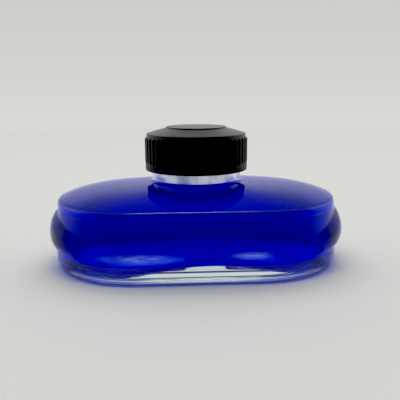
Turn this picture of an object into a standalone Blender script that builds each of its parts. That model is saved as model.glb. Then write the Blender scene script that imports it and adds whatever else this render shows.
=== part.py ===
"""Fountain-pen ink bottle: an oval glass bottle with a lug at each end, its ink, and a ribbed screw cap.

Metres, +Z up. The origin is under the middle of the bottle, on the surface it stands on. +X runs along the
long side of the oval and +Y across it. The neck, the thread and the cap share the Z axis.
"""

import math

import bmesh
import bpy
import numpy as np
from mathutils import Vector

MM = 0.001

# Plan of the bottle: two half circles joined by straight walls
HALF_LENGTH = 45.9 * MM
HALF_DEPTH = 27.0 * MM
ARC_CENTRE = HALF_LENGTH - HALF_DEPTH
RING_POINTS = 60
HALF_ARC_SHARE = 1 / 6

# Walls and base
HEEL_RADIUS = 3.2 * MM
HEEL_STEPS = 4
WALL_DRAFT = 0.056
FOOT_WIDTH = 3.4 * MM
PUSH_UP = 0.5 * MM
PUSH_UP_PROFILE = ((14, 1.0), (6, 0.85), (1, 0.4), (0, 0.0))

# Rounded edge between the wall and the dome, small along the sides and larger round the ends
SHOULDER_FRONT = 21.4 * MM
SHOULDER_END = 21.9 * MM
EDGE_RADIUS_FRONT = 1.3 * MM
EDGE_RADIUS_END = 2.4 * MM
EDGE_TURN = 65.0
EDGE_STEPS = 3
EDGE_INSET = 1.7 * MM

# Lugs: the wall swells out around each end, and the cavity follows part of the way
LUG_BULGE = 2.35 * MM
LUG_BOTTOM = 6.6 * MM
LUG_TOP = 18.2 * MM
LUG_TOP_DROP = 6.0 * MM
LUG_DROP_POWER = 1.6
LUG_ANGLE = math.radians(54)
LUG_FADE_POWER = 4
LUG_ROUNDNESS = 0.7
LUG_STEPS = 10
LUG_HOLLOW = 0.6

# Dome between the shoulder and the neck: slopes over the long sides and over the ends
NECK_RADIUS = 14.3 * MM
NECK_BASE = 26.86 * MM
NECK_FILLET = 1.3 * MM
EDGE_SLOPES = (0.474, 0.418)
ROOT_SLOPES = (0.606, 0.052)
SLOPE_BLEND = 0.52
DOME_STEPS = 7
BEND_STEPS = 3

# Neck finish
RING_TOP = 31.5 * MM
RING_BEVEL = 0.2 * MM
THREAD_ROOT = 13.1 * MM
RIM_HEIGHT = 39.8 * MM
RIM_BEVEL = 0.6 * MM
BORE_RADIUS = 10.4 * MM
BORE_START = 24.6 * MM
BORE_FILLET = 1.2 * MM

# Glass thickness; the floor is thickest in the middle of the long sides
WALL = 2.7 * MM
CAVITY_DROP = 2.25 * MM
CAVITY_EDGE_RADIUS = 3.0 * MM
CAVITY_WALL_STEPS = 8
FLOOR_EDGE = 2.0 * MM
FLOOR_SIDE = 5.0 * MM
FLOOR_MIDDLE = 5.2 * MM
FLOOR_LENS_MIDDLE = 3.0 * MM
FLOOR_LENS_REACH = 27.0 * MM
FLOOR_PROFILE = ((19, 1.0), (15, 0.93), (11, 0.62), (8, 0.25))
INNER_HEEL = 1.6 * MM
INNER_HEEL_STEPS = 3

# Ink
INK_LEVEL = 27.4 * MM
INK_GAP = 0.3 * MM

# Thread, right-handed, shared by the neck and the cap
PITCH = 3.6 * MM
THREAD_TURNS = 1.2
THREAD_START = 34.0 * MM
THREAD_CREST = 14.2 * MM
THREAD_HALF_ROOT = 0.95 * MM
THREAD_HALF_CREST = 0.35 * MM
THREAD_STEPS = 40
THREAD_TAPER = 0.12
THREAD_END_SHARE = 0.08
GLASS_THREAD_SUNK = 0.5 * MM
CAP_THREAD_SUNK = 0.4 * MM

# Cap
CAP_BOTTOM = 30.5 * MM
CAP_BEVEL = 0.25 * MM
CAP_RIB_RADIUS = 16.5 * MM
CAP_GROOVE = 0.5 * MM
CAP_BAND_RADIUS = 16.42 * MM
CAP_RIBS = 48
CREST_SHARES = (0.0, 0.46)
GROOVE_SHARES = (0.62, 0.84)
RIB_BOTTOM = 33.2 * MM
RIB_TOP = 40.6 * MM
RIB_RUN_IN = 0.2 * MM
CAP_COLLAR_RADIUS = 15.95 * MM
CONE_EDGE = 42.1 * MM
CONE_TOP = 43.8 * MM
DISC_RADIUS = 9.65 * MM
DISC_EDGE = 0.1 * MM
CAP_TOP = 44.15 * MM
CEILING = 41.5 * MM
SKIRT_INNER = 14.75 * MM
SKIRT_BEVEL = 0.3 * MM
CAP_THREAD_CREST = 13.6 * MM
CAP_THREAD_DROP = 1.33 * MM
CAP_THREAD_START = 33.4 * MM

# Liner
LINER_RADIUS = 14.2 * MM
LINER_EDGE = 0.12 * MM
FACING_BOTTOM = 40.05 * MM
FACING_TOP = 40.35 * MM
BOARD_BOTTOM = 40.6 * MM
BOARD_TOP = 41.25 * MM

SHARP_ANGLE = math.radians(35)
OVERSHOOT = 2.0 * MM


def clear_scene():
    for obj in list(bpy.data.objects):
        bpy.data.objects.remove(obj, do_unlink=True)


def material(name, colour, roughness, metallic=0.0, transmission=0.0):
    made = bpy.data.materials.new(name)
    made.use_nodes = True
    shader = made.node_tree.nodes["Principled BSDF"]
    shader.inputs["Base Color"].default_value = (*colour, 1.0)
    shader.inputs["Roughness"].default_value = roughness
    shader.inputs["Metallic"].default_value = metallic
    shader.inputs["Transmission Weight"].default_value = transmission
    return made


def add_object(name, mesh, surface):
    obj = bpy.data.objects.new(name, mesh)
    obj.data.materials.append(surface)
    bpy.context.scene.collection.objects.link(obj)
    mesh.shade_smooth()
    mesh.set_sharp_from_angle(angle=SHARP_ANGLE)
    return obj


def add_axis(name, height):
    empty = bpy.data.objects.new(name, None)
    empty.location = (0, 0, height)
    bpy.context.scene.collection.objects.link(empty)
    return empty


def stack(rings):
    """A closed mesh through rings of the same number of points, with a flat face over each end."""
    mesh = bmesh.new()
    loops = [[mesh.verts.new(tuple(point)) for point in ring] for ring in rings]
    count = len(loops[0])
    mesh.faces.new(reversed(loops[0]))
    for low, high in zip(loops, loops[1:]):
        for i in range(count):
            j = (i + 1) % count
            mesh.faces.new((low[i], low[j], high[j], high[i]))
    mesh.faces.new(loops[-1])
    bmesh.ops.recalc_face_normals(mesh, faces=mesh.faces)
    return mesh


def finish(mesh, name):
    data = bpy.data.meshes.new(name)
    mesh.to_mesh(data)
    mesh.free()
    return data


def combine(obj, other, operation):
    """Applies a Boolean with the other object, which is then removed."""
    modifier = obj.modifiers.new(operation.title(), "BOOLEAN")
    modifier.operation = operation
    modifier.solver = "EXACT"
    modifier.object = other
    bpy.context.view_layer.update()
    evaluated = obj.evaluated_get(bpy.context.evaluated_depsgraph_get())
    made = bpy.data.meshes.new_from_object(evaluated)
    obj.modifiers.remove(modifier)
    old = obj.data
    obj.data = made
    bpy.data.meshes.remove(old)
    bpy.data.objects.remove(other, do_unlink=True)


def plan(inset):
    """x, y and outward bearing at each point of the oval, drawn in by an inset."""
    turn = np.arange(RING_POINTS) / RING_POINTS
    radius = HALF_DEPTH - np.broadcast_to(inset, turn.shape)
    signed = np.where(turn > 0.5, turn - 1, turn)
    right = np.abs(signed) <= HALF_ARC_SHARE
    left = np.abs(turn - 0.5) <= HALF_ARC_SHARE
    quarter = math.pi / 2
    bearing = np.where(turn < 0.5, quarter, -quarter)
    bearing = np.where(right, signed / HALF_ARC_SHARE * quarter, bearing)
    bearing = np.where(left, math.pi + (turn - 0.5) / HALF_ARC_SHARE * quarter, bearing)
    along = (np.abs(signed) - HALF_ARC_SHARE) / (0.5 - 2 * HALF_ARC_SHARE)
    centre = ARC_CENTRE * (1 - 2 * np.clip(along, 0, 1))
    x = centre + np.where(right | left, radius * np.cos(bearing), 0.0)
    return x, radius * np.sin(bearing), bearing


def oval_ring(inset, z):
    x, y, _ = plan(inset)
    return np.column_stack([x, y, np.broadcast_to(z, x.shape)])


def neck_ring(radius, z):
    """A circle whose points face those of the oval's top edge."""
    x, y, _ = plan(EDGE_INSET)
    reach = np.hypot(x, y)
    return np.column_stack([radius * x / reach, radius * y / reach, np.broadcast_to(z, x.shape)])


def circle_ring(radius, z, count=RING_POINTS):
    angle = np.arange(count) / count * math.tau
    return np.column_stack([radius * np.cos(angle), radius * np.sin(angle), np.full(count, z)])


def lug_height(z):
    """How far the lug stands out of the wall at each point of a ring at a height."""
    _, _, bearing = plan(0.0)
    angle = np.abs(np.arctan2(np.sin(bearing), np.abs(np.cos(bearing))))
    share = np.clip(angle / LUG_ANGLE, 0, 1)
    top = LUG_TOP - LUG_TOP_DROP * share**LUG_DROP_POWER
    middle = (top + LUG_BOTTOM) / 2
    offset = np.clip((z - middle) / ((top - LUG_BOTTOM) / 2), -1, 1)
    return LUG_BULGE * (1 - share**LUG_FADE_POWER) * (1 - offset**2) ** LUG_ROUNDNESS


def wall_inset(z):
    return WALL_DRAFT * np.maximum(z - HEEL_RADIUS, 0.0)


def fillet_rings(inset, z, radius, start, end, steps):
    """Rings on a rounded edge whose centre is a radius inside the wall; 0 degrees is level and 90 is up."""
    rings = []
    for i in range(steps + 1):
        angle = math.radians(start + (end - start) * i / steps)
        rings.append(oval_ring(inset + radius * (1 - math.cos(angle)), z + radius * math.sin(angle)))
    return rings


def shoulder_rings():
    _, _, bearing = plan(0.0)
    end = np.cos(bearing) ** 2
    radius = EDGE_RADIUS_FRONT + (EDGE_RADIUS_END - EDGE_RADIUS_FRONT) * end
    corner = SHOULDER_FRONT + (SHOULDER_END - SHOULDER_FRONT) * end
    start = corner - radius * math.tan(math.radians(EDGE_TURN) / 2)
    return fillet_rings(wall_inset(start), start, radius, 0, EDGE_TURN, EDGE_STEPS)


def dome_rings(edge, root_radius, root_height, cut):
    """Rings from an edge ring towards a circle; the last of them stays a cut short of it."""
    root = neck_ring(root_radius, root_height)
    run = np.linalg.norm((root - edge)[:, :2], axis=1)
    rise = root[:, 2] - edge[:, 2]
    along = edge[:, 0] ** 2 / (edge[:, 0] ** 2 + edge[:, 1] ** 2)
    blend = along * (1 + SLOPE_BLEND) / (along + SLOPE_BLEND)
    edge_slope = (EDGE_SLOPES[0] + (EDGE_SLOPES[1] - EDGE_SLOPES[0]) * blend) * run
    root_slope = (ROOT_SLOPES[0] + (ROOT_SLOPES[1] - ROOT_SLOPES[0]) * blend) * run
    rings = []
    for step in range(1, DOME_STEPS + 1):
        t = (1 - cut / run) * step / DOME_STEPS
        lift = (
            edge_slope * (t - 2 * t**2 + t**3)
            + rise * (3 * t**2 - 2 * t**3)
            + root_slope * (t**3 - t**2)
        )
        ring = edge + (root - edge) * t[:, None]
        ring[:, 2] = edge[:, 2] + lift
        rings.append(ring)
    return rings


def bend_rings(before, last, radius, height):
    """Rings that turn from the slope between two rings to upright at a radius, a height above the bend."""
    reach = np.hypot(last[:, 0], last[:, 1])
    slope = (last[:, 2] - before[:, 2]) / (np.hypot(before[:, 0], before[:, 1]) - reach)
    corner = neck_ring(radius, last[:, 2] + slope * (reach - radius))
    top = corner + np.array([0, 0, height])
    rings = []
    for step in range(1, BEND_STEPS + 1):
        t = step / BEND_STEPS
        rings.append(last * (1 - t) ** 2 + corner * 2 * t * (1 - t) + top * t**2)
    return rings


def outer_glass():
    """The outside of the glass, from the pushed-up base to the rim."""
    foot = HEEL_RADIUS + FOOT_WIDTH
    rings = [oval_ring(foot + extra * MM, share * PUSH_UP) for extra, share in PUSH_UP_PROFILE]
    rings += fillet_rings(0.0, HEEL_RADIUS, HEEL_RADIUS, -90, 0, HEEL_STEPS)
    for step in range(LUG_STEPS + 1):
        z = LUG_BOTTOM + (LUG_TOP - LUG_BOTTOM) * (1 - math.cos(math.pi * step / LUG_STEPS)) / 2
        rings.append(oval_ring(wall_inset(z) - lug_height(z), z))
    rings += shoulder_rings()
    rings += dome_rings(rings[-1], NECK_RADIUS, NECK_BASE, NECK_FILLET)
    rings += bend_rings(rings[-2], rings[-1], NECK_RADIUS, NECK_FILLET)
    rings.append(neck_ring(NECK_RADIUS, RING_TOP - RING_BEVEL))
    rings.append(neck_ring(NECK_RADIUS - RING_BEVEL, RING_TOP))
    rings.append(neck_ring(THREAD_ROOT, RING_TOP + GLASS_THREAD_SUNK))
    rings.append(neck_ring(THREAD_ROOT, RIM_HEIGHT - RIM_BEVEL))
    rings.append(neck_ring(THREAD_ROOT - RIM_BEVEL, RIM_HEIGHT))
    return stack(rings)


def floor_height():
    """Height of the cavity's floor at each point of its edge."""
    x, _, _ = plan(WALL)
    share = np.clip(1 - ((x - FLOOR_LENS_MIDDLE) / FLOOR_LENS_REACH) ** 2, 0, 1)
    return FLOOR_EDGE + (FLOOR_SIDE - FLOOR_EDGE) * share**2


def cavity(gap, top):
    """The space inside the glass, drawn in by a gap, up to a height in the bore."""
    wall = WALL + gap
    floor = floor_height() + gap
    middle = FLOOR_MIDDLE + gap
    rings = [oval_ring(inset * MM, floor + (middle - floor) * share) for inset, share in FLOOR_PROFILE]
    heel = INNER_HEEL - gap
    rings += fillet_rings(wall, floor + heel, heel, -90, 0, INNER_HEEL_STEPS)
    edge_start = SHOULDER_FRONT - CAVITY_DROP - gap - CAVITY_EDGE_RADIUS
    for step in range(1, CAVITY_WALL_STEPS):
        share = step / CAVITY_WALL_STEPS
        z = floor + heel + (edge_start - floor - heel) * share
        rings.append(oval_ring(wall + wall_inset(edge_start) * share - LUG_HOLLOW * lug_height(z), z))
    inset = wall + wall_inset(edge_start)
    rings += fillet_rings(inset, edge_start, CAVITY_EDGE_RADIUS, 0, EDGE_TURN, EDGE_STEPS)
    bore = BORE_RADIUS - gap
    rings += dome_rings(rings[-1], bore, BORE_START - gap, BORE_FILLET)
    rings += bend_rings(rings[-2], rings[-1], bore, BORE_FILLET)
    rings.append(neck_ring(bore, top))
    return stack(rings)


def thread(root, crest, start, first_angle, sunk):
    """A helical ridge of trapezoid section, with its base sunk into the wall behind it."""
    outward = 1 if crest > root else -1
    behind = root - outward * sunk
    mesh = bmesh.new()
    sections = []
    for i in range(THREAD_STEPS + 1):
        share = i / THREAD_STEPS
        angle = first_angle + math.tau * THREAD_TURNS * share
        z = start + PITCH * THREAD_TURNS * share
        fade = min(1.0, share / THREAD_TAPER, (1 - share) / THREAD_TAPER)
        tip = root + (crest - root) * (THREAD_END_SHARE + (1 - THREAD_END_SHARE) * fade)
        half_root = THREAD_HALF_ROOT * (0.5 + 0.5 * fade)
        half_crest = THREAD_HALF_CREST * (0.5 + 0.5 * fade)
        lower = [(behind, -half_root), (root, -half_root), (tip, -half_crest)]
        upper = [(radius, -dz) for radius, dz in reversed(lower)]
        section = []
        for radius, dz in lower + upper:
            section.append(mesh.verts.new((radius * math.cos(angle), radius * math.sin(angle), z + dz)))
        sections.append(section)
    mesh.faces.new(sections[0])
    for low, high in zip(sections, sections[1:]):
        for i in range(len(low)):
            j = (i + 1) % len(low)
            mesh.faces.new((low[i], low[j], high[j], high[i]))
    mesh.faces.new(reversed(sections[-1]))
    bmesh.ops.recalc_face_normals(mesh, faces=mesh.faces)
    return mesh


def loose(name, mesh):
    """An object with no material, to be used up by a Boolean."""
    obj = bpy.data.objects.new(name, finish(mesh, name))
    bpy.context.scene.collection.objects.link(obj)
    return obj


def build_glass():
    clear = material("clear_glass", (0.93, 0.96, 0.97), 0.02, transmission=1.0)
    obj = add_object("glass_bottle", finish(outer_glass(), "glass_bottle"), clear)
    ridge = thread(THREAD_ROOT, THREAD_CREST, THREAD_START, 0.0, GLASS_THREAD_SUNK)
    combine(obj, loose("glass_thread", ridge), "UNION")
    combine(obj, loose("glass_cavity", cavity(0.0, RIM_HEIGHT + OVERSHOOT)), "DIFFERENCE")
    return obj


def build_ink():
    blue = material("royal_blue_ink", (0.01, 0.02, 0.45), 0.05)
    return add_object("ink", finish(cavity(INK_GAP, INK_LEVEL), "ink"), blue)


def rib_ring(z, crest, groove):
    """One ring of the cap's side: four points to each rib, two on its crest and two in the groove."""
    shares = [(share, crest) for share in CREST_SHARES] + [(share, groove) for share in GROOVE_SHARES]
    ring = []
    for rib in range(CAP_RIBS):
        for share, radius in shares:
            angle = math.tau * (rib + share) / CAP_RIBS
            ring.append(Vector((radius * math.cos(angle), radius * math.sin(angle), z)))
    return ring


def plain_ring(radius, z):
    return rib_ring(z, radius, radius)


def build_cap(axis):
    black = material("black_cap", (0.012, 0.012, 0.013), 0.35)
    groove = CAP_RIB_RADIUS - CAP_GROOVE
    rings = [
        plain_ring(CAP_BAND_RADIUS - CAP_BEVEL, CAP_BOTTOM),
        plain_ring(CAP_BAND_RADIUS, CAP_BOTTOM + CAP_BEVEL),
        plain_ring(CAP_BAND_RADIUS, RIB_BOTTOM - RIB_RUN_IN),
        rib_ring(RIB_BOTTOM, CAP_RIB_RADIUS, groove),
        rib_ring(RIB_TOP, CAP_RIB_RADIUS, groove),
        plain_ring(CAP_COLLAR_RADIUS, RIB_TOP + 2 * RIB_RUN_IN),
        plain_ring(CAP_COLLAR_RADIUS, CONE_EDGE - CAP_BEVEL),
        plain_ring(CAP_COLLAR_RADIUS - CAP_BEVEL, CONE_EDGE),
        plain_ring(DISC_RADIUS + DISC_EDGE, CONE_TOP),
        plain_ring(DISC_RADIUS, CAP_TOP - DISC_EDGE),
        plain_ring(DISC_RADIUS - DISC_EDGE, CAP_TOP),
    ]
    obj = add_object("cap_shell", finish(stack(rings), "cap_shell"), black)
    inside = [
        circle_ring(SKIRT_INNER + SKIRT_BEVEL, CAP_BOTTOM - OVERSHOOT),
        circle_ring(SKIRT_INNER + SKIRT_BEVEL, CAP_BOTTOM),
        circle_ring(SKIRT_INNER, CAP_BOTTOM + SKIRT_BEVEL),
        circle_ring(SKIRT_INNER, CEILING - SKIRT_BEVEL),
        circle_ring(SKIRT_INNER - SKIRT_BEVEL, CEILING),
    ]
    combine(obj, loose("cap_inside", stack(inside)), "DIFFERENCE")
    first_angle = math.tau * (CAP_THREAD_START + CAP_THREAD_DROP - THREAD_START) / PITCH
    ridge = thread(SKIRT_INNER, CAP_THREAD_CREST, CAP_THREAD_START, first_angle, CAP_THREAD_SUNK)
    combine(obj, loose("cap_thread", ridge), "UNION")
    obj.parent = axis
    obj.matrix_parent_inverse = axis.matrix_world.inverted()
    return obj


def build_liner(axis):
    """The wad in two plies, with softly rounded edges."""
    pulp = material("liner_pulp", (0.72, 0.68, 0.58), 0.85)
    film = material("liner_film", (0.85, 0.85, 0.83), 0.35)
    for name, low, high, surface in (
        ("liner_facing", FACING_BOTTOM, FACING_TOP, film),
        ("liner_board", BOARD_BOTTOM, BOARD_TOP, pulp),
    ):
        rings = [
            circle_ring(LINER_RADIUS - LINER_EDGE, low),
            circle_ring(LINER_RADIUS, low + LINER_EDGE),
            circle_ring(LINER_RADIUS, high - LINER_EDGE),
            circle_ring(LINER_RADIUS - LINER_EDGE, high),
        ]
        obj = add_object(name, finish(stack(rings), name), surface)
        obj.parent = axis
        obj.matrix_parent_inverse = axis.matrix_world.inverted()


def main():
    clear_scene()
    lift_axis = add_axis("cap_lift_axis", CAP_BOTTOM)
    turn_axis = add_axis("cap_turn_axis", CAP_BOTTOM)
    turn_axis.parent = lift_axis
    turn_axis.location = (0, 0, 0)
    bpy.context.view_layer.update()
    build_glass()
    build_ink()
    build_liner(lift_axis)
    build_cap(turn_axis)


main()
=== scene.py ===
import math

import bpy
import numpy as np
from mathutils import Matrix, Vector


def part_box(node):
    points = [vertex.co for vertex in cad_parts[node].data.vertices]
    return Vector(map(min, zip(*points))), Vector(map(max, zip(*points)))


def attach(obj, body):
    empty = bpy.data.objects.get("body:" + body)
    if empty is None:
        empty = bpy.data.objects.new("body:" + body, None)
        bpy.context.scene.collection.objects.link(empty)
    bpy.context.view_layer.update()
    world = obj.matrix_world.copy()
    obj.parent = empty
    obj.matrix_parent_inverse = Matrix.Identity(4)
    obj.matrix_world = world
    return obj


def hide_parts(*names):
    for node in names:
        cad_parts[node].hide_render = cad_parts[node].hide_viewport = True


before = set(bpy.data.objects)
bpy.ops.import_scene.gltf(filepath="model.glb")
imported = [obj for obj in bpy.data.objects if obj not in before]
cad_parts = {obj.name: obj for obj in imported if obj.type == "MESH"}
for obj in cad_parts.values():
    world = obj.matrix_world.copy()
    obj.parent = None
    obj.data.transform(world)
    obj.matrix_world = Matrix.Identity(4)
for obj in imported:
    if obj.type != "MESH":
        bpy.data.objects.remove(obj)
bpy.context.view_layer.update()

MM = 0.001

# ---------------------------------------------------------------- sizes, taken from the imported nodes
_, GLASS_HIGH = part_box("glass_bottle")
CAP_LOW, CAP_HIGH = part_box("cap_shell")
_, INK_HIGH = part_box("ink")
FACING_LOW, FACING_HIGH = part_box("liner_facing")
BOARD_LOW, BOARD_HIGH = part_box("liner_board")

# Plan of the bottle: two half circles joined by straight walls
HALF_DEPTH = GLASS_HIGH.y
HALF_LENGTH = 45.9 * MM
ARC_CENTRE = HALF_LENGTH - HALF_DEPTH
# Points in a ring, and the share of them on each half circle
AROUND = 288
ARC_SHARE = 1 / 3

# Foot, wall and shoulder
HEEL_RADIUS = 3.2 * MM
WALL_DRAFT = 0.056
SHOULDER_FRONT = 21.4 * MM
SHOULDER_END = 21.9 * MM
EDGE_RADIUS_FRONT = 1.3 * MM
EDGE_RADIUS_END = 2.4 * MM
EDGE_TURN = math.radians(65)
EDGE_INSET = 1.7 * MM
FOOT_WIDTH = 3.4 * MM
PUSH_UP = 0.5 * MM
PUSH_UP_RUN = 11.0 * MM
BASE_REACH = 20.3 * MM

# Lugs at the two ends
LUG_BULGE = 2.33 * MM
LUG_BOTTOM = 6.6 * MM
LUG_TOP = 18.2 * MM
LUG_TOP_DROP = 6.0 * MM
LUG_ANGLE = math.radians(54)

# Dome, with its slopes at the edge and at the neck, each on the long side and at the ends
NECK_RADIUS = 14.3 * MM
NECK_BASE = 26.86 * MM
NECK_FILLET = 1.3 * MM
EDGE_SLOPES = (0.474, 0.418)
ROOT_SLOPES = (0.606, 0.052)
SLOPE_BLEND = 0.52

# Neck
RING_TOP = 31.5 * MM
RING_EDGE = 0.3 * MM
THREAD_ROOT = 13.1 * MM
RIM_HEIGHT = GLASS_HIGH.z
RIM_EDGE = 0.6 * MM
BORE_RADIUS = 10.4 * MM
BORE_START = 24.6 * MM

# Cavity and ink
WALL = 2.7 * MM
LUG_HOLLOW = 0.6
DOME_WALL = 3.0 * MM
FLOOR_EDGE = 2.0 * MM
FLOOR_SIDE = 5.0 * MM
FLOOR_MIDDLE = 5.2 * MM
FLOOR_LENS_MIDDLE = 3.0 * MM
FLOOR_LENS_REACH = 27.0 * MM
FLOOR_START = 7.4 * MM
FLOOR_REACH = 19.3 * MM
FLOOR_RISE_START = 7.0 * MM
FLOOR_RISE_RUN = 10.0 * MM
INNER_HEEL = 1.6 * MM
INNER_EDGE = 3.0 * MM
BORE_FILLET = 1.2 * MM
INK_LEVEL = INK_HIGH.z
INK_GAP = 0.015 * MM

# Thread
PITCH = 3.6 * MM
THREAD_TURNS = 1.2
THREAD_START = 34.0 * MM
THREAD_CREST = 14.2 * MM
THREAD_HALF_ROOT = 0.95 * MM
THREAD_HALF_CREST = 0.35 * MM
THREAD_TAPER = 0.12

# Cap
CAP_BOTTOM = CAP_LOW.z
CAP_RIB_RADIUS = 16.5 * MM
CAP_GROOVE = 0.5 * MM
CAP_BAND_RADIUS = 16.42 * MM
CAP_RIBS = 48
POINTS_PER_RIB = 16
RIB_BOTTOM = 33.2 * MM
RIB_TOP = 40.6 * MM
CAP_COLLAR_RADIUS = 15.95 * MM
CONE_EDGE = 42.1 * MM
CONE_TOP = 43.8 * MM
DISC_RADIUS = 9.65 * MM
CAP_TOP = CAP_HIGH.z
CEILING = 41.5 * MM
SKIRT_INNER = 14.75 * MM
CAP_THREAD_CREST = 13.6 * MM
CAP_THREAD_START = 33.4 * MM
CAP_THREAD_DROP = 1.33 * MM


# ---------------------------------------------------------------- rings
def ease(share):
    """0 to 1 with a level start and end."""
    return share * share * (3 - 2 * share)


def plan(inset):
    """x, y and outward bearing of a ring of the oval, drawn in by an inset (a number or one per point)."""
    turn = np.arange(AROUND) / AROUND
    inset = np.broadcast_to(np.asarray(inset, float), turn.shape)
    radius = HALF_DEPTH - inset
    half = ARC_SHARE / 2
    x = np.empty(AROUND)
    y = np.empty(AROUND)
    bearing = np.empty(AROUND)
    right = (turn <= half) | (turn >= 1 - half)
    left = (turn >= 0.5 - half) & (turn <= 0.5 + half)
    signed = np.where(turn > 0.5, turn - 1, turn)
    b = signed / half * math.pi / 2
    x[right] = ARC_CENTRE + radius[right] * np.cos(b[right])
    y[right] = radius[right] * np.sin(b[right])
    bearing[right] = b[right]
    b = math.pi + (turn - 0.5) / half * math.pi / 2
    x[left] = -ARC_CENTRE + radius[left] * np.cos(b[left])
    y[left] = radius[left] * np.sin(b[left])
    bearing[left] = b[left]
    back = (turn > half) & (turn < 0.5 - half)
    along = (turn - half) / (0.5 - 2 * half)
    x[back] = ARC_CENTRE * (1 - 2 * along[back])
    y[back] = radius[back]
    bearing[back] = math.pi / 2
    front = (turn > 0.5 + half) & (turn < 1 - half)
    along = (turn - 0.5 - half) / (0.5 - 2 * half)
    x[front] = -ARC_CENTRE * (1 - 2 * along[front])
    y[front] = -radius[front]
    bearing[front] = -math.pi / 2
    return x, y, bearing


def oval(inset, z):
    x, y, _ = plan(inset)
    return np.column_stack([x, y, np.broadcast_to(z, x.shape)])


def circle(radius, z, around=AROUND):
    angle = np.arange(around) / around * math.tau
    return np.column_stack(
        [radius * np.cos(angle), radius * np.sin(angle), np.broadcast_to(z, angle.shape)]
    )


def neck_ring(radius, z):
    """A circle whose points face those of the oval."""
    x, y, _ = plan(EDGE_INSET)
    reach = np.hypot(x, y)
    return np.column_stack([radius * x / reach, radius * y / reach, np.broadcast_to(z, x.shape)])


def lug_height(bearing, z):
    """How far the lug at either end stands out of the wall, by bearing and height."""
    angle = np.abs(np.arctan2(np.sin(bearing), np.abs(np.cos(bearing))))
    share = np.clip(angle / LUG_ANGLE, 0, 1)
    top = LUG_TOP - LUG_TOP_DROP * share**1.6
    middle = (top + LUG_BOTTOM) / 2
    offset = np.clip((z - middle) / ((top - LUG_BOTTOM) / 2), -1, 1)
    return LUG_BULGE * (1 - share**4) * (1 - offset**2) ** 0.7


def wall_inset(z):
    return WALL_DRAFT * np.maximum(np.asarray(z, float) - HEEL_RADIUS, 0.0)


def wall_rings(low, high, steps):
    rings = []
    _, _, bearing = plan(0.0)
    for step in range(steps + 1):
        z = low + (high - low) * (1 - math.cos(math.pi * step / steps)) / 2
        rings.append(oval(wall_inset(z) - lug_height(bearing, z), z))
    return rings


def fillet_rings(inset, z, radius, start, end, steps):
    """A rounding from an inset inwards; its centre is at z."""
    rings = []
    for i in range(steps + 1):
        angle = math.radians(start + (end - start) * i / steps)
        rings.append(oval(inset + radius * (1 - math.cos(angle)), z + radius * math.sin(angle)))
    return rings


def shoulder_rings(steps):
    """The rounding over the wall, tighter on the long sides than at the ends."""
    rings = []
    _, _, bearing = plan(0.0)
    end = np.cos(bearing) ** 2
    radius = EDGE_RADIUS_FRONT + (EDGE_RADIUS_END - EDGE_RADIUS_FRONT) * end
    start = SHOULDER_FRONT + (SHOULDER_END - SHOULDER_FRONT) * end - radius * math.tan(EDGE_TURN / 2)
    for step in range(steps + 1):
        angle = EDGE_TURN * step / steps
        inset = wall_inset(start) + radius * (1 - math.cos(angle))
        rings.append(oval(inset, start + radius * math.sin(angle)))
    return rings


def dome_rings(edge, root_radius, root_height, steps, cut):
    """Rings from an edge ring towards a circle; the last of them stays a cut short of it."""
    root = neck_ring(root_radius, root_height)
    run = np.linalg.norm((root - edge)[:, :2], axis=1)
    rise = root[:, 2] - edge[:, 2]
    along = edge[:, 0] ** 2 / (edge[:, 0] ** 2 + edge[:, 1] ** 2)
    blend = along * (1 + SLOPE_BLEND) / (along + SLOPE_BLEND)
    edge_slope = (EDGE_SLOPES[0] + (EDGE_SLOPES[1] - EDGE_SLOPES[0]) * blend) * run
    root_slope = (ROOT_SLOPES[0] + (ROOT_SLOPES[1] - ROOT_SLOPES[0]) * blend) * run
    last = 1 - cut / run
    rings = []
    for step in range(steps):
        t = last * (1 - (1 - (step + 1) / steps) ** 1.25)
        lift = (
            edge_slope * (t - 2 * t**2 + t**3)
            + rise * (3 * t**2 - 2 * t**3)
            + root_slope * (t**3 - t**2)
        )
        flat = edge + (root - edge) * t[:, None]
        flat[:, 2] = edge[:, 2] + lift
        rings.append(flat)
    return rings


def bend_rings(before, last, radius, height, steps):
    """Rings that turn from the slope between two rings to upright at a radius."""
    reach = np.hypot(last[:, 0], last[:, 1])
    slope = (last[:, 2] - before[:, 2]) / (np.hypot(before[:, 0], before[:, 1]) - reach)
    corner = neck_ring(radius, last[:, 2] + slope * (reach - radius))
    top = corner + np.array([0, 0, height])
    rings = []
    for step in range(1, steps + 1):
        t = step / steps
        rings.append(last * (1 - t) ** 2 + corner * 2 * t * (1 - t) + top * t**2)
    return rings


def corner_rings(radius, z, size, start, end, steps, ring=circle):
    """A rounded corner of a turned shape; the centre of the rounding is at radius and z."""
    rings = []
    for i in range(steps + 1):
        angle = math.radians(start + (end - start) * i / steps)
        rings.append(ring(radius + size * math.cos(angle), z + size * math.sin(angle)))
    return rings


def ridge(angle, z, root, crest, start, first_angle):
    """Radius at each angle round a wall that carries the thread."""
    height = np.zeros(len(angle))
    for turn in range(-2, 4):
        u = (angle - first_angle) / math.tau + turn
        on = (u >= 0) & (u <= THREAD_TURNS)
        share = np.clip(u / THREAD_TURNS, 0, 1)
        fade = np.clip(np.minimum(share, 1 - share) / THREAD_TAPER, 0, 1)
        fade = ease(fade)
        away = np.abs(z - (start + PITCH * u))
        half_root = THREAD_HALF_ROOT * (0.5 + 0.5 * fade)
        half_crest = THREAD_HALF_CREST * (0.5 + 0.5 * fade)
        flank = np.clip((half_root - away) / (half_root - half_crest), 0, 1)
        flank = ease(flank)
        height = np.maximum(height, np.where(on, flank * fade, 0.0))
    return root + (crest - root) * height


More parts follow.
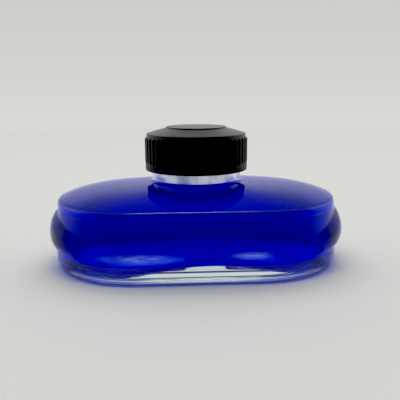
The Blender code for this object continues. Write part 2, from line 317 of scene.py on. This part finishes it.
def stack(rings, close_start=True, marks=None):
    """Vertices, faces and material slots of a mesh through rings of the same number of points."""
    count = len(rings[0])
    marks = marks or [0] * len(rings)
    verts = np.vstack(rings)
    faces = []
    slots = []
    for level in range(len(rings) - 1):
        base = level * count
        for i in range(count):
            j = (i + 1) % count
            faces.append((base + i, base + j, base + count + j, base + count + i))
            slots.append(marks[level])
    if close_start:
        faces.append(tuple(reversed(range(count))))
        slots.append(marks[0])
    last = (len(rings) - 1) * count
    faces.append(tuple(range(last, last + count)))
    slots.append(marks[-1])
    return verts, faces, slots


def piece(name, verts, faces, materials, slots):
    mesh = bpy.data.meshes.new(name)
    mesh.from_pydata([tuple(v) for v in verts], [], faces)
    for made in materials:
        mesh.materials.append(made)
    mesh.polygons.foreach_set("material_index", slots)
    mesh.update()
    mesh.shade_smooth()
    obj = bpy.data.objects.new(name, mesh)
    bpy.context.scene.collection.objects.link(obj)
    return obj


# ---------------------------------------------------------------- materials
def new_material(name):
    made = bpy.data.materials.new(name)
    made.use_nodes = True
    tree = made.node_tree
    return made, tree, tree.nodes["Principled BSDF"], tree.nodes["Material Output"]


def node(tree, kind, **inputs):
    made = tree.nodes.new(kind)
    for key, value in inputs.items():
        made.inputs[key.replace("_", " ")].default_value = value
    return made


def noise(tree, scale, detail=3.0, roughness=0.5, stretch=None):
    coordinates = tree.nodes.new("ShaderNodeTexCoord")
    made = node(tree, "ShaderNodeTexNoise", Scale=scale, Detail=detail, Roughness=roughness)
    if stretch is None:
        tree.links.new(coordinates.outputs["Object"], made.inputs["Vector"])
    else:
        mapping = node(tree, "ShaderNodeMapping", Scale=stretch)
        tree.links.new(coordinates.outputs["Object"], mapping.inputs["Vector"])
        tree.links.new(mapping.outputs["Vector"], made.inputs["Vector"])
    return made.outputs["Fac"]


def feed(tree, socket, value):
    """Links a node's output to a socket, or sets the socket to a number, a vector or a colour."""
    if isinstance(value, bpy.types.NodeSocket):
        tree.links.new(value, socket)
    elif socket.type == "RGBA":
        socket.default_value = (*value, 1)
    else:
        socket.default_value = value


def ramp(tree, value, low, high, start=0.0, end=1.0, smooth=False):
    made = node(tree, "ShaderNodeMapRange")
    made.interpolation_type = "SMOOTHSTEP" if smooth else "LINEAR"
    made.inputs["From Min"].default_value = start
    made.inputs["From Max"].default_value = end
    made.inputs["To Min"].default_value = low
    made.inputs["To Max"].default_value = high
    tree.links.new(value, made.inputs["Value"])
    return made.outputs["Result"]


def maths(tree, operation, *values):
    made = tree.nodes.new("ShaderNodeMath")
    made.operation = operation
    for socket, value in zip(made.inputs, values):
        feed(tree, socket, value)
    return made.outputs["Value"]


def vector_maths(tree, operation, *values):
    made = tree.nodes.new("ShaderNodeVectorMath")
    made.operation = operation
    for socket, value in zip(made.inputs, values):
        feed(tree, socket, value)
    return made.outputs["Value" if operation == "LENGTH" else "Vector"]


def colour_between(tree, share, low, high):
    made = tree.nodes.new("ShaderNodeMix")
    made.data_type = "RGBA"
    tree.links.new(share, made.inputs["Factor"])
    feed(tree, made.inputs["A"], low)
    feed(tree, made.inputs["B"], high)
    return made.outputs["Result"]


def separate(tree, value):
    made = tree.nodes.new("ShaderNodeSeparateXYZ")
    tree.links.new(value, made.inputs["Vector"])
    return made.outputs


def bump(tree, shader, height, distance, strength=1.0, after=None):
    made = node(tree, "ShaderNodeBump", Strength=strength, Distance=distance)
    tree.links.new(height, made.inputs["Height"])
    if after is not None:
        tree.links.new(after, made.inputs["Normal"])
    tree.links.new(made.outputs["Normal"], shader.inputs["Normal"])
    return made.outputs["Normal"]


def absorb(tree, output, colour, density):
    made = tree.nodes.new("ShaderNodeVolumeAbsorption")
    made.inputs["Color"].default_value = (*colour, 1)
    made.inputs["Density"].default_value = density
    tree.links.new(made.outputs["Volume"], output.inputs["Volume"])


GLASS_TINT = (0.80, 0.97, 0.95)
GLASS_DENSITY = 6.0


def distance_from(tree, centre, size, folded=False):
    """1 on the ellipsoid of this centre and half size, less inside; a size of 0 leaves that axis out."""
    place = tree.nodes.new("ShaderNodeTexCoord").outputs["Object"]
    if folded:
        place = vector_maths(tree, "ABSOLUTE", place)
    moved = vector_maths(tree, "SUBTRACT", place, centre)
    scale = [1 / half if half else 0.0 for half in size]
    return vector_maths(tree, "LENGTH", vector_maths(tree, "MULTIPLY", moved, scale))


def glass_material(name, ior, wavy, low=(0.965, 0.985, 0.98), high=(1, 1, 1)):
    made, tree, shader, output = new_material(name)
    shader.inputs["Transmission Weight"].default_value = 1.0
    shader.inputs["IOR"].default_value = ior
    grain = noise(tree, 90.0, 2.0)
    feed(tree, shader.inputs["Base Color"], colour_between(tree, grain, low, high))
    feed(tree, shader.inputs["Roughness"], ramp(tree, noise(tree, 300.0, 4.0), 0.0, 0.02, 0.35, 0.8))
    bump(tree, shader, noise(tree, 110.0, 1.5), wavy)
    absorb(tree, output, GLASS_TINT, GLASS_DENSITY)
    return made


# Painted reflection tint and painted glow strength for each part of the glass that has ink behind it; the
# edge tint paints a highlight band along the shoulder
PAINTED_INK_REFLECTION = (0.14, 0.30, 1.4)
PAINTED_INK_GLOW = 0.115
PAINTED_INK_GLOW_COLOUR = (0.0, 0.02, 1.0)
PAINTED_LUG_REFLECTION = (0.30, 0.32, 0.75)
PAINTED_LUG_GLOW = 0.02
LUG_MIDDLE = (HALF_LENGTH, 0.0, (LUG_BOTTOM + LUG_TOP) / 2)
LUG_SIZE = (7.0 * MM, 0.0, (LUG_TOP - LUG_BOTTOM) / 2)
PAINTED_NECK_REFLECTION = (0.04, 0.10, 1.4)
NECK_SIZE = (NECK_RADIUS, NECK_RADIUS, 0.0)
PAINTED_EDGE_HIGHLIGHT = (2.4, 2.5, 3.2)
EDGE_MIDDLE = (0.0, 0.0, SHOULDER_FRONT - 0.2 * MM)
EDGE_SIZE = (0.0, 0.0, 0.55 * MM)

# Centre and half size of the light streaks that the base throws on the wall
GLEAMS = (
    ((-18.0 * MM, 0.0, 8.2 * MM), (15.0 * MM, 0.0, 1.9 * MM)),
    ((15.0 * MM, 0.0, 8.7 * MM), (8.0 * MM, 0.0, 1.5 * MM)),
)
GLEAM_COLOUR = (0.60, 0.84, 0.95)
GLEAM_GLOW = 0.12


def gleam_share(tree):
    left, right = (ramp(tree, distance_from(tree, *gleam), 1.0, 0.0, 0.1, 1.0) for gleam in GLEAMS)
    streaks = ramp(tree, noise(tree, 260.0, 4.0, stretch=(1.0, 1.0, 5.0)), 0.35, 1.0, 0.35, 0.62)
    return maths(tree, "MULTIPLY", maths(tree, "MAXIMUM", left, right), streaks)


def inked_glass_painted_light():
    """Glass with the ink behind it, with a painted blue reflection tint and a painted blue glow except on
    the lugs, a painted highlight along the shoulder edge and painted light streaks near the base.
    """
    made = glass_material("inked_glass_painted_light", 1.5, 0.004 * MM)
    tree = made.node_tree
    inputs = tree.nodes["Principled BSDF"].inputs
    beside_lug = ramp(tree, distance_from(tree, LUG_MIDDLE, LUG_SIZE, folded=True), 0.0, 1.0, 0.8, 1.25)
    painted_edge_band = ramp(tree, distance_from(tree, EDGE_MIDDLE, EDGE_SIZE), 1.0, 0.0, 0.5, 1.1)
    off_neck = ramp(tree, distance_from(tree, (0.0, 0.0, 0.0), NECK_SIZE), 0.0, 1.0, 1.1, 1.5)
    # Painted reflection colour: blue over the ink, other values near the neck, a bright painted highlight
    # band along the shoulder edge, paler on the lugs
    painted_tint = colour_between(tree, off_neck, PAINTED_NECK_REFLECTION, PAINTED_INK_REFLECTION)
    painted_tint = colour_between(tree, painted_edge_band, painted_tint, PAINTED_EDGE_HIGHLIGHT)
    feed(tree, inputs["Specular Tint"], colour_between(tree, beside_lug, PAINTED_LUG_REFLECTION, painted_tint))
    gleam = gleam_share(tree)
    # Painted glow: blue over the ink, weaker on the lugs, paler in the painted light streaks near the base
    feed(tree, inputs["Emission Color"], colour_between(tree, gleam, PAINTED_INK_GLOW_COLOUR, GLEAM_COLOUR))
    painted_glow = ramp(tree, beside_lug, PAINTED_LUG_GLOW, PAINTED_INK_GLOW)
    painted_streak_glow = maths(tree, "MULTIPLY", gleam, GLEAM_GLOW)
    feed(tree, inputs["Emission Strength"], maths(tree, "ADD", painted_glow, painted_streak_glow))
    return made


def collar_material():
    """Glass of the ring under the thread, slightly milky, with a painted glow in streaks."""
    made, tree, shader, output = new_material("collar_glass_painted_glow")
    shader.inputs["Transmission Weight"].default_value = 0.7
    shader.inputs["IOR"].default_value = 1.5
    streak = ramp(tree, noise(tree, 170.0, 2.0, stretch=(1.0, 1.0, 0.6)), 0.0, 1.0, 0.38, 0.56)
    # Painted glow in streaks, from dark blue to near white
    painted_glow = colour_between(tree, streak, (0.16, 0.20, 0.48), (0.92, 0.96, 1))
    feed(tree, shader.inputs["Base Color"], colour_between(tree, streak, (0.80, 0.83, 0.86), (1, 1, 1)))
    feed(tree, shader.inputs["Roughness"], ramp(tree, streak, 0.05, 0.25))
    feed(tree, shader.inputs["Emission Color"], painted_glow)
    shader.inputs["Emission Strength"].default_value = 0.28
    absorb(tree, output, GLASS_TINT, GLASS_DENSITY)
    return made


INK_TINT = (0.02, 0.30, 0.935)
INK_DENSITY = 480.0


def ink_material(name, ior):
    made, tree, shader, output = new_material(name)
    shader.inputs["Transmission Weight"].default_value = 1.0
    shader.inputs["IOR"].default_value = ior
    shader.inputs["Roughness"].default_value = 0.0
    cloud = noise(tree, 60.0, 2.0)
    colour = colour_between(tree, cloud, (0.45, 0.52, 1.0), (0.55, 0.62, 1.0))
    feed(tree, shader.inputs["Base Color"], colour)
    absorb(tree, output, INK_TINT, INK_DENSITY)
    return made


def cap_material(name, coat):
    made, tree, shader, _ = new_material(name)
    shader.inputs["IOR"].default_value = 1.33
    shader.inputs["Coat Weight"].default_value = coat
    shader.inputs["Coat Roughness"].default_value = 0.3
    shader.inputs["Coat IOR"].default_value = 1.5
    shade = noise(tree, 700.0, 5.0, 0.6)
    colour = colour_between(tree, shade, (0.006, 0.006, 0.007), (0.016, 0.016, 0.017))
    feed(tree, shader.inputs["Base Color"], colour)
    feed(tree, shader.inputs["Roughness"], ramp(tree, noise(tree, 450.0, 6.0, 0.65), 0.30, 0.44, 0.3, 0.7))
    fine = bump(tree, shader, noise(tree, 5200.0, 3.0, 0.6), 0.012 * MM)
    bump(tree, shader, noise(tree, 160.0, 2.0), 0.02 * MM, after=fine)
    return made


def board_material():
    made, tree, shader, _ = new_material("liner_board")
    fibre = noise(tree, 2600.0, 6.0, 0.7, stretch=(1.0, 0.35, 1.0))
    colour = colour_between(tree, fibre, (0.50, 0.44, 0.33), (0.80, 0.75, 0.64))
    feed(tree, shader.inputs["Base Color"], colour)
    feed(tree, shader.inputs["Roughness"], ramp(tree, fibre, 0.75, 0.95))
    bump(tree, shader, fibre, 0.05 * MM)
    return made


def film_material():
    made, tree, shader, _ = new_material("liner_film")
    shade = noise(tree, 420.0, 4.0)
    colour = colour_between(tree, shade, (0.78, 0.78, 0.75), (0.88, 0.88, 0.86))
    feed(tree, shader.inputs["Base Color"], colour)
    feed(tree, shader.inputs["Roughness"], ramp(tree, noise(tree, 900.0, 4.0), 0.25, 0.42))
    bump(tree, shader, noise(tree, 1500.0, 3.0), 0.02 * MM)
    return made


# ---------------------------------------------------------------- glass and ink
NECK_ANGLES = np.arctan2(*neck_ring(1.0, 0.0).T[1::-1]) % math.tau
# How many rings of the bend into the neck already belong to the milky collar with its painted glow
COLLAR_LEAD = 3


def outside():
    """Rings from the middle of the base up to the thread, and the number of the collar's first ring."""
    foot = HEEL_RADIUS + FOOT_WIDTH
    rings = []
    for step in range(14):
        inset = foot + BASE_REACH * (1 - step / 14)
        rings.append(oval(inset, PUSH_UP * ease(min(1.0, (inset - foot) / PUSH_UP_RUN))))
    rings.append(oval(foot, 0.0))
    rings += fillet_rings(0.0, HEEL_RADIUS, HEEL_RADIUS, -90, 0, 12)
    rings += wall_rings(LUG_BOTTOM - 0.8 * MM, LUG_TOP, 44)
    rings += shoulder_rings(12)
    rings += dome_rings(rings[-1], NECK_RADIUS, NECK_BASE, 34, NECK_FILLET)
    rings += bend_rings(rings[-2], rings[-1], NECK_RADIUS, NECK_FILLET, 10)
    collar_start = len(rings) - COLLAR_LEAD
    low = RING_TOP - RING_EDGE
    high = RING_TOP + RING_EDGE
    rings.append(neck_ring(NECK_RADIUS, low))
    rings += corner_rings(NECK_RADIUS - RING_EDGE, low, RING_EDGE, 15, 90, 5, neck_ring)
    rings += corner_rings(THREAD_ROOT + RING_EDGE, high, -RING_EDGE, 90, 0, 5, neck_ring)
    return rings, collar_start


def neck_thread():
    rings = []
    steps = 64
    low = RING_TOP + 0.4 * MM
    high = RIM_HEIGHT - RIM_EDGE
    for step in range(steps + 1):
        z = low + (high - low) * step / steps
        rings.append(neck_ring(ridge(NECK_ANGLES, z, THREAD_ROOT, THREAD_CREST, THREAD_START, 0.0), z))
    return rings


def rim():
    z = RIM_HEIGHT - RIM_EDGE
    rings = corner_rings(THREAD_ROOT - RIM_EDGE, z, RIM_EDGE, 12, 90, 6, neck_ring)
    rings += corner_rings(BORE_RADIUS + RIM_EDGE, z, RIM_EDGE, 90, 180, 7, neck_ring)
    return rings


def floor_edge():
    """Height of the cavity's floor at each point of its edge, thickest in the middle of the long sides."""
    x, _, _ = plan(WALL)
    share = np.clip(1 - ((x - FLOOR_LENS_MIDDLE) / FLOOR_LENS_REACH) ** 2, 0, 1)
    return FLOOR_EDGE + (FLOOR_SIDE - FLOOR_EDGE) * share**2


def inside(gap):
    """Rings of the cavity from the middle of its floor up to the foot of the bore."""
    wall = WALL + gap
    floor = floor_edge() + gap
    rings = []
    for step in range(16):
        inset = FLOOR_START + FLOOR_REACH * (1 - step / 16)
        rise = ease(min(1.0, max(0.0, (inset - FLOOR_RISE_START) / FLOOR_RISE_RUN)))
        rings.append(oval(inset, floor + (FLOOR_MIDDLE + gap - floor) * rise))
    heel = INNER_HEEL - gap
    rings += fillet_rings(wall, floor + heel, heel, -90, 0, 12)
    shoulder = SHOULDER_FRONT - DOME_WALL * 0.75 - gap
    top = shoulder - INNER_EDGE
    inset = wall + wall_inset(top)
    _, _, bearing = plan(WALL)
    for step in range(1, 24):
        z = floor + heel + (top - floor - heel) * step / 24
        hollow = LUG_HOLLOW * lug_height(bearing, z)
        rings.append(oval(wall + (inset - wall) * step / 24 - hollow, z))
    rings += fillet_rings(inset, top, INNER_EDGE, 0, 65, 10)
    bore = BORE_RADIUS - gap
    rings += dome_rings(rings[-1], bore, BORE_START - gap, 24, BORE_FILLET)
    rings += bend_rings(rings[-2], rings[-1], bore, BORE_FILLET, 8)
    return rings


def build_glass():
    clear = glass_material("clear_glass", 1.5, 0.004 * MM, (0.80, 0.83, 0.85), (0.86, 0.89, 0.91))
    wetted = glass_material("wetted_glass", 1.5 / 1.33, 0.0)
    inked = inked_glass_painted_light()
    collar = collar_material()
    rings, collar_start = outside()
    rings += neck_thread() + rim()
    marks = []
    for level, ring in enumerate(rings):
        height = ring[:, 2].min()
        if level < collar_start:
            marks.append(2 if height > HEEL_RADIUS else 0)
        else:
            marks.append(3 if height < RING_TOP - 0.31 * MM else 0)
    cavity = inside(0.0)
    top = RIM_HEIGHT - 0.8 * MM
    low = cavity[-1][:, 2].max()
    for step in range(10):
        rings.append(neck_ring(BORE_RADIUS, top + (INK_LEVEL - top) * step / 9))
        marks.append(0)
    marks[-1] = 1
    rings.append(neck_ring(BORE_RADIUS, (low + INK_LEVEL) / 2))
    marks.append(1)
    for ring in reversed(cavity):
        rings.append(ring)
        marks.append(1)
    verts, faces, slots = stack(rings, marks=marks)
    obj = piece("bottle_glass", verts, faces, [clear, wetted, inked, collar], slots)
    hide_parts("glass_bottle")
    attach(obj, "bottle")


# How far in from the bore's wall and how far down the ink's surface is, in millimetres
MENISCUS = ((0.0, 0.0), (0.12, 0.14), (0.35, 0.25), (0.8, 0.34), (1.5, 0.39), (2.6, 0.41), (6.0, 0.41))


def build_ink():
    side = ink_material("ink_in_glass", 1.0)
    top = ink_material("ink_surface", 1.33)
    rings = inside(INK_GAP)
    bore = BORE_RADIUS - INK_GAP
    rings.append(neck_ring(bore, INK_LEVEL - 0.25 * MM))
    marks = [0] * len(rings)
    for inset, drop in MENISCUS:
        rings.append(neck_ring(bore - inset * MM, INK_LEVEL - drop * MM))
        marks.append(1)
    verts, faces, slots = stack(rings, marks=marks)
    obj = piece("ink_body", verts, faces, [side, top], slots)
    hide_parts("ink")
    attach(obj, "bottle")


# ---------------------------------------------------------------- cap and liner
CAP_AROUND = CAP_RIBS * POINTS_PER_RIB
CAP_ANGLES = np.arange(CAP_AROUND) / CAP_AROUND * math.tau


def rib_profile():
    """0 in a groove and 1 on a rib, at each point round the cap."""
    share = (np.arange(CAP_AROUND) % POINTS_PER_RIB) / POINTS_PER_RIB
    middle = np.abs(((share - 0.23 + 0.5) % 1.0) - 0.5)
    flank = np.clip((0.36 - middle) / 0.13, 0, 1)
    return ease(flank)


def cap_ring(radius, z, depth=0.0):
    return circle(radius - depth * (1 - rib_profile()), z, CAP_AROUND)


def build_cap():
    band = CAP_BAND_RADIUS
    edge = 0.25 * MM
    rings = corner_rings(band - edge, CAP_BOTTOM + edge, edge, -90, 0, 5, cap_ring)
    rings.append(cap_ring(band, RIB_BOTTOM - 0.2 * MM))
    for step in range(1, 7):
        t = step / 6
        s = ease(t)
        radius = band + (CAP_RIB_RADIUS - band) * s
        rings.append(cap_ring(radius, RIB_BOTTOM - 0.2 * MM + 0.3 * MM * t, CAP_GROOVE * s))
    for step in range(1, 6):
        z = RIB_BOTTOM + 0.1 * MM + (RIB_TOP - RIB_BOTTOM - 0.3 * MM) * step / 5
        rings.append(cap_ring(CAP_RIB_RADIUS, z, CAP_GROOVE))
    for step in range(1, 8):
        t = step / 7
        s = ease(t)
        radius = CAP_RIB_RADIUS + (CAP_COLLAR_RADIUS - CAP_RIB_RADIUS) * s
        rings.append(cap_ring(radius, RIB_TOP - 0.2 * MM + 0.6 * MM * t, CAP_GROOVE * (1 - s)))
    rings.append(cap_ring(CAP_COLLAR_RADIUS - 0.02 * MM, CONE_EDGE - 0.6 * MM))
    slope = math.degrees(math.atan2(CONE_TOP - CONE_EDGE, CAP_COLLAR_RADIUS - DISC_RADIUS))
    collar = CAP_COLLAR_RADIUS - 0.35 * MM
    rings += corner_rings(collar, CONE_EDGE - 0.3 * MM, 0.33 * MM, 0, 90 - slope, 6, cap_ring)
    start, low = rings[-1][0][0], rings[-1][0][2]
    for step in range(1, 7):
        t = step / 6
        radius = start + (DISC_RADIUS + 0.12 * MM - start) * t
        rings.append(cap_ring(radius, low + (CONE_TOP - low) * t))
    rings.append(cap_ring(DISC_RADIUS + 0.04 * MM, CONE_TOP + 0.05 * MM))
    rings += corner_rings(DISC_RADIUS - 0.1 * MM, CAP_TOP - 0.1 * MM, 0.1 * MM, 0, 90, 4, cap_ring)
    for radius in (8.0, 5.0, 2.0, 0.3):
        rings.append(cap_ring(radius * MM, CAP_TOP))
    hidden = list(reversed(cap_inside()))
    marks = [0] * len(hidden) + [1 if ring[:, 2].min() > RIB_TOP + 0.3 * MM else 0 for ring in rings]
    verts, faces, slots = stack(hidden + rings, marks=marks)
    skirt = cap_material("black_plastic", 0.0)
    top = cap_material("polished_black_plastic", 0.5)
    obj = piece("screw_cap", verts, faces, [skirt, top], slots)
    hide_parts("cap_shell")
    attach(obj, "cap")


def cap_inside():
    """Rings from the bottom edge up the threaded skirt to the middle of the ceiling."""
    edge = 0.25 * MM
    rings = corner_rings(SKIRT_INNER + edge, CAP_BOTTOM + edge, -edge, 90, 0, 4, cap_ring)
    first_angle = math.tau * (CAP_THREAD_START + CAP_THREAD_DROP - THREAD_START) / PITCH
    steps = 64
    low = CAP_BOTTOM + 0.4 * MM
    high = CEILING - 0.4 * MM
    for step in range(steps + 1):
        z = low + (high - low) * step / steps
        radius = ridge(CAP_ANGLES, z, SKIRT_INNER, CAP_THREAD_CREST, CAP_THREAD_START, first_angle)
        rings.append(cap_ring(radius, z))
    rings += corner_rings(SKIRT_INNER - 0.3 * MM, CEILING - 0.3 * MM, 0.3 * MM, 15, 90, 4, cap_ring)
    for radius in (12.0, 8.0, 4.0, 0.3):
        rings.append(cap_ring(radius * MM, CEILING))
    return rings


def liner_disc(name, low, high, made):
    edge = 0.12 * MM
    rings = [circle(radius * MM, low.z) for radius in (0.3, 4, 8, 12)]
    rings += corner_rings(high.x - edge, low.z + edge, edge, -90, 0, 4)
    rings += corner_rings(high.x - edge, high.z - edge, edge, 0, 90, 4)
    rings += [circle(radius * MM, high.z) for radius in (12, 8, 4, 0.3)]
    verts, faces, slots = stack(rings)
    return piece(name, verts, faces, [made], slots)


def build_liner():
    film = liner_disc("liner_film_disc", FACING_LOW, FACING_HIGH, film_material())
    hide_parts("liner_facing")
    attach(film, "liner")
    pulp = liner_disc("liner_pulp_disc", BOARD_LOW, BOARD_HIGH, board_material())
    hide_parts("liner_board")
    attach(pulp, "liner")


# ---------------------------------------------------------------- stage
def blue_pool(tree, position):
    """Strength of the light that comes through the ink on to the floor, by distance from the foot."""
    axes = separate(tree, position)
    past = maths(tree, "SUBTRACT", maths(tree, "ABSOLUTE", axes["X"]), ARC_CENTRE)
    flat = tree.nodes.new("ShaderNodeCombineXYZ")
    feed(tree, flat.inputs["X"], maths(tree, "MAXIMUM", past, 0.0))
    feed(tree, flat.inputs["Y"], axes["Y"])
    reach = vector_maths(tree, "LENGTH", flat.outputs["Vector"])
    return ramp(tree, reach, 0.0, 0.25, HALF_DEPTH + 6.5 * MM, HALF_DEPTH - 6 * MM, smooth=True)


# Distances in metres at which the floor starts and ends to fade into the backdrop
FADE_START = 0.25
FADE_END = 0.7


def build_stage():
    rings = [circle(radius, 0.0, 96) for radius in (0.02, 0.06, 0.12, 0.2, 0.3, 0.45, 0.7, 1.0, 2.0)]
    verts, faces, slots = stack(list(reversed(rings)), close_start=False)
    made, tree, shader, output = new_material("pale_paper")
    colour = colour_between(tree, noise(tree, 30.0, 4.0), (0.845, 0.858, 0.820), (0.862, 0.875, 0.838))
    feed(tree, shader.inputs["Base Color"], colour)
    shader.inputs["Roughness"].default_value = 0.8
    shader.inputs["Specular IOR Level"].default_value = 0.1
    bump(tree, shader, noise(tree, 2500.0, 4.0), 0.01 * MM)
    geometry = tree.nodes.new("ShaderNodeNewGeometry")
    position = geometry.outputs["Position"]
    shader.inputs["Emission Color"].default_value = (0.05, 0.07, 1.0, 1)
    feed(tree, shader.inputs["Emission Strength"], blue_pool(tree, position))
    away = vector_maths(tree, "LENGTH", position)
    fade = ramp(tree, away, 0.0, 1.0, FADE_START, FADE_END, smooth=True)
    # The floor shows only from above, so a view from below sees the foot of the bottle
    unseen = maths(tree, "MAXIMUM", fade, geometry.outputs["Backfacing"])
    clear = tree.nodes.new("ShaderNodeBsdfTransparent")
    mix = tree.nodes.new("ShaderNodeMixShader")
    feed(tree, mix.inputs["Fac"], unseen)
    feed(tree, mix.inputs[1], shader.outputs["BSDF"])
    feed(tree, mix.inputs[2], clear.outputs["BSDF"])
    feed(tree, output.inputs["Surface"], mix.outputs["Shader"])
    piece("floor", verts, faces, [made], slots)


# A colour ramp holds values up to 1, so the brightnesses are divided by this and multiplied back
WORLD_SCALE = 10.0
# Brightness of the studio by elevation in degrees: behind the bottle, in front of it, and as seen directly
BACK_RAMP = (
    (-90, 0.55), (-14, 0.62), (-8, 0.66), (-2, 0.64), (8, 0.66), (14, 0.72), (20, 0.80), (28, 0.82),
    (36, 0.68), (44, 0.56), (60, 0.56), (79, 0.60), (83, 4.50), (90, 4.50),
)
FRONT_RAMP = ((-90, 0.55), (-2, 0.50), (2, 0.06), (30, 0.08), (50, 0.12), (80, 0.30), (90, 1.00))
PALE_RAMP = (
    (-90, 0.70), (-20, 0.80), (-13, 0.81), (-10, 0.79), (-7, 0.75), (0, 0.68), (8, 0.63), (90, 0.58),
)
PALE_TONE = (0.98, 0.99, 0.94)


def elevation_ramp(tree, value, stops, tone=(1, 1, 1)):
    made = tree.nodes.new("ShaderNodeValToRGB")
    elements = made.color_ramp.elements
    while len(elements) < len(stops):
        elements.new(0.5)
    for element, (degrees, level) in zip(elements, stops):
        element.position = (degrees + 90) / 180
    for element, (degrees, level) in zip(elements, stops):
        element.color = (*(level / WORLD_SCALE * part for part in tone), 1)
    tree.links.new(value, made.inputs["Fac"])
    return made.outputs["Color"]


def build_world():
    world = bpy.data.worlds.new("studio")
    bpy.context.scene.world = world
    world.use_nodes = True
    tree = world.node_tree
    coordinates = tree.nodes.new("ShaderNodeTexCoord")
    axes = separate(tree, coordinates.outputs["Generated"])
    share = ramp(tree, maths(tree, "ARCSINE", axes["Z"]), 0.0, 1.0, -math.pi / 2, math.pi / 2)
    back = elevation_ramp(tree, share, BACK_RAMP)
    front = elevation_ramp(tree, share, FRONT_RAMP)
    towards = ramp(tree, axes["Y"], 0.0, 1.0, -0.55, 0.35, smooth=True)
    background = tree.nodes["Background"]
    background.inputs["Strength"].default_value = WORLD_SCALE
    feed(tree, background.inputs["Color"], colour_between(tree, towards, front, back))
    pale = tree.nodes.new("ShaderNodeBackground")
    pale.inputs["Strength"].default_value = WORLD_SCALE
    feed(tree, pale.inputs["Color"], elevation_ramp(tree, share, PALE_RAMP, PALE_TONE))
    rays = tree.nodes.new("ShaderNodeLightPath")
    choose = tree.nodes.new("ShaderNodeMixShader")
    feed(tree, choose.inputs["Fac"], rays.outputs["Is Camera Ray"])
    feed(tree, choose.inputs[1], background.outputs["Background"])
    feed(tree, choose.inputs[2], pale.outputs["Background"])
    feed(tree, tree.nodes["World Output"].inputs["Surface"], choose.outputs["Shader"])


def build_lights():
    data = bpy.data.lights.new("overhead", "AREA")
    data.shape = "RECTANGLE"
    data.size = 0.9
    data.size_y = 0.7
    data.energy = 2.7
    lamp = bpy.data.objects.new("overhead", data)
    lamp.location = (0.0, 0.18, 0.75)
    lamp.rotation_euler = (Vector((0, 0, 0.02)) - lamp.location).to_track_quat("-Z", "Y").to_euler()
    lamp.visible_glossy = False
    lamp.visible_transmission = False
    bpy.context.scene.collection.objects.link(lamp)


def build_camera():
    distance, height = 181.18 * MM, 57.52 * MM
    heading, pitch, pan, roll = (math.radians(a) for a in (-2.864, 11.723, -0.366, -0.338))
    turn = heading + pan
    forward = Vector((-math.sin(turn) * math.cos(pitch), math.cos(turn) * math.cos(pitch), -math.sin(pitch)))
    right = Vector((math.cos(turn), math.sin(turn), 0))
    up = right.cross(forward)
    side = right * math.cos(roll) + up * math.sin(roll)
    top = -right * math.sin(roll) + up * math.cos(roll)
    data = bpy.data.cameras.new("camera")
    data.sensor_width = 36.0
    data.lens = 50.4
    data.clip_start = 0.001
    camera = bpy.data.objects.new("camera", data)
    matrix = Matrix.Identity(4)
    for row in range(3):
        matrix[row][0], matrix[row][1], matrix[row][2] = side[row], top[row], -forward[row]
    matrix.translation = Vector((distance * math.sin(heading), -distance * math.cos(heading), height))
    camera.matrix_world = matrix
    bpy.context.scene.collection.objects.link(camera)
    bpy.context.scene.camera = camera


BLACK_POINT = 0.022


def settings():
    scene = bpy.context.scene
    scene.view_settings.view_transform = "Standard"
    scene.view_settings.use_curve_mapping = True
    scene.view_settings.curve_mapping.black_level = (BLACK_POINT, BLACK_POINT, BLACK_POINT)
    scene.cycles.max_bounces = 24
    scene.cycles.transmission_bounces = 24
    scene.cycles.transparent_max_bounces = 16
    scene.cycles.sample_clamp_indirect = 6.0


settings()
build_camera()
build_stage()
build_world()
build_lights()
build_glass()
build_ink()
build_cap()
build_liner()
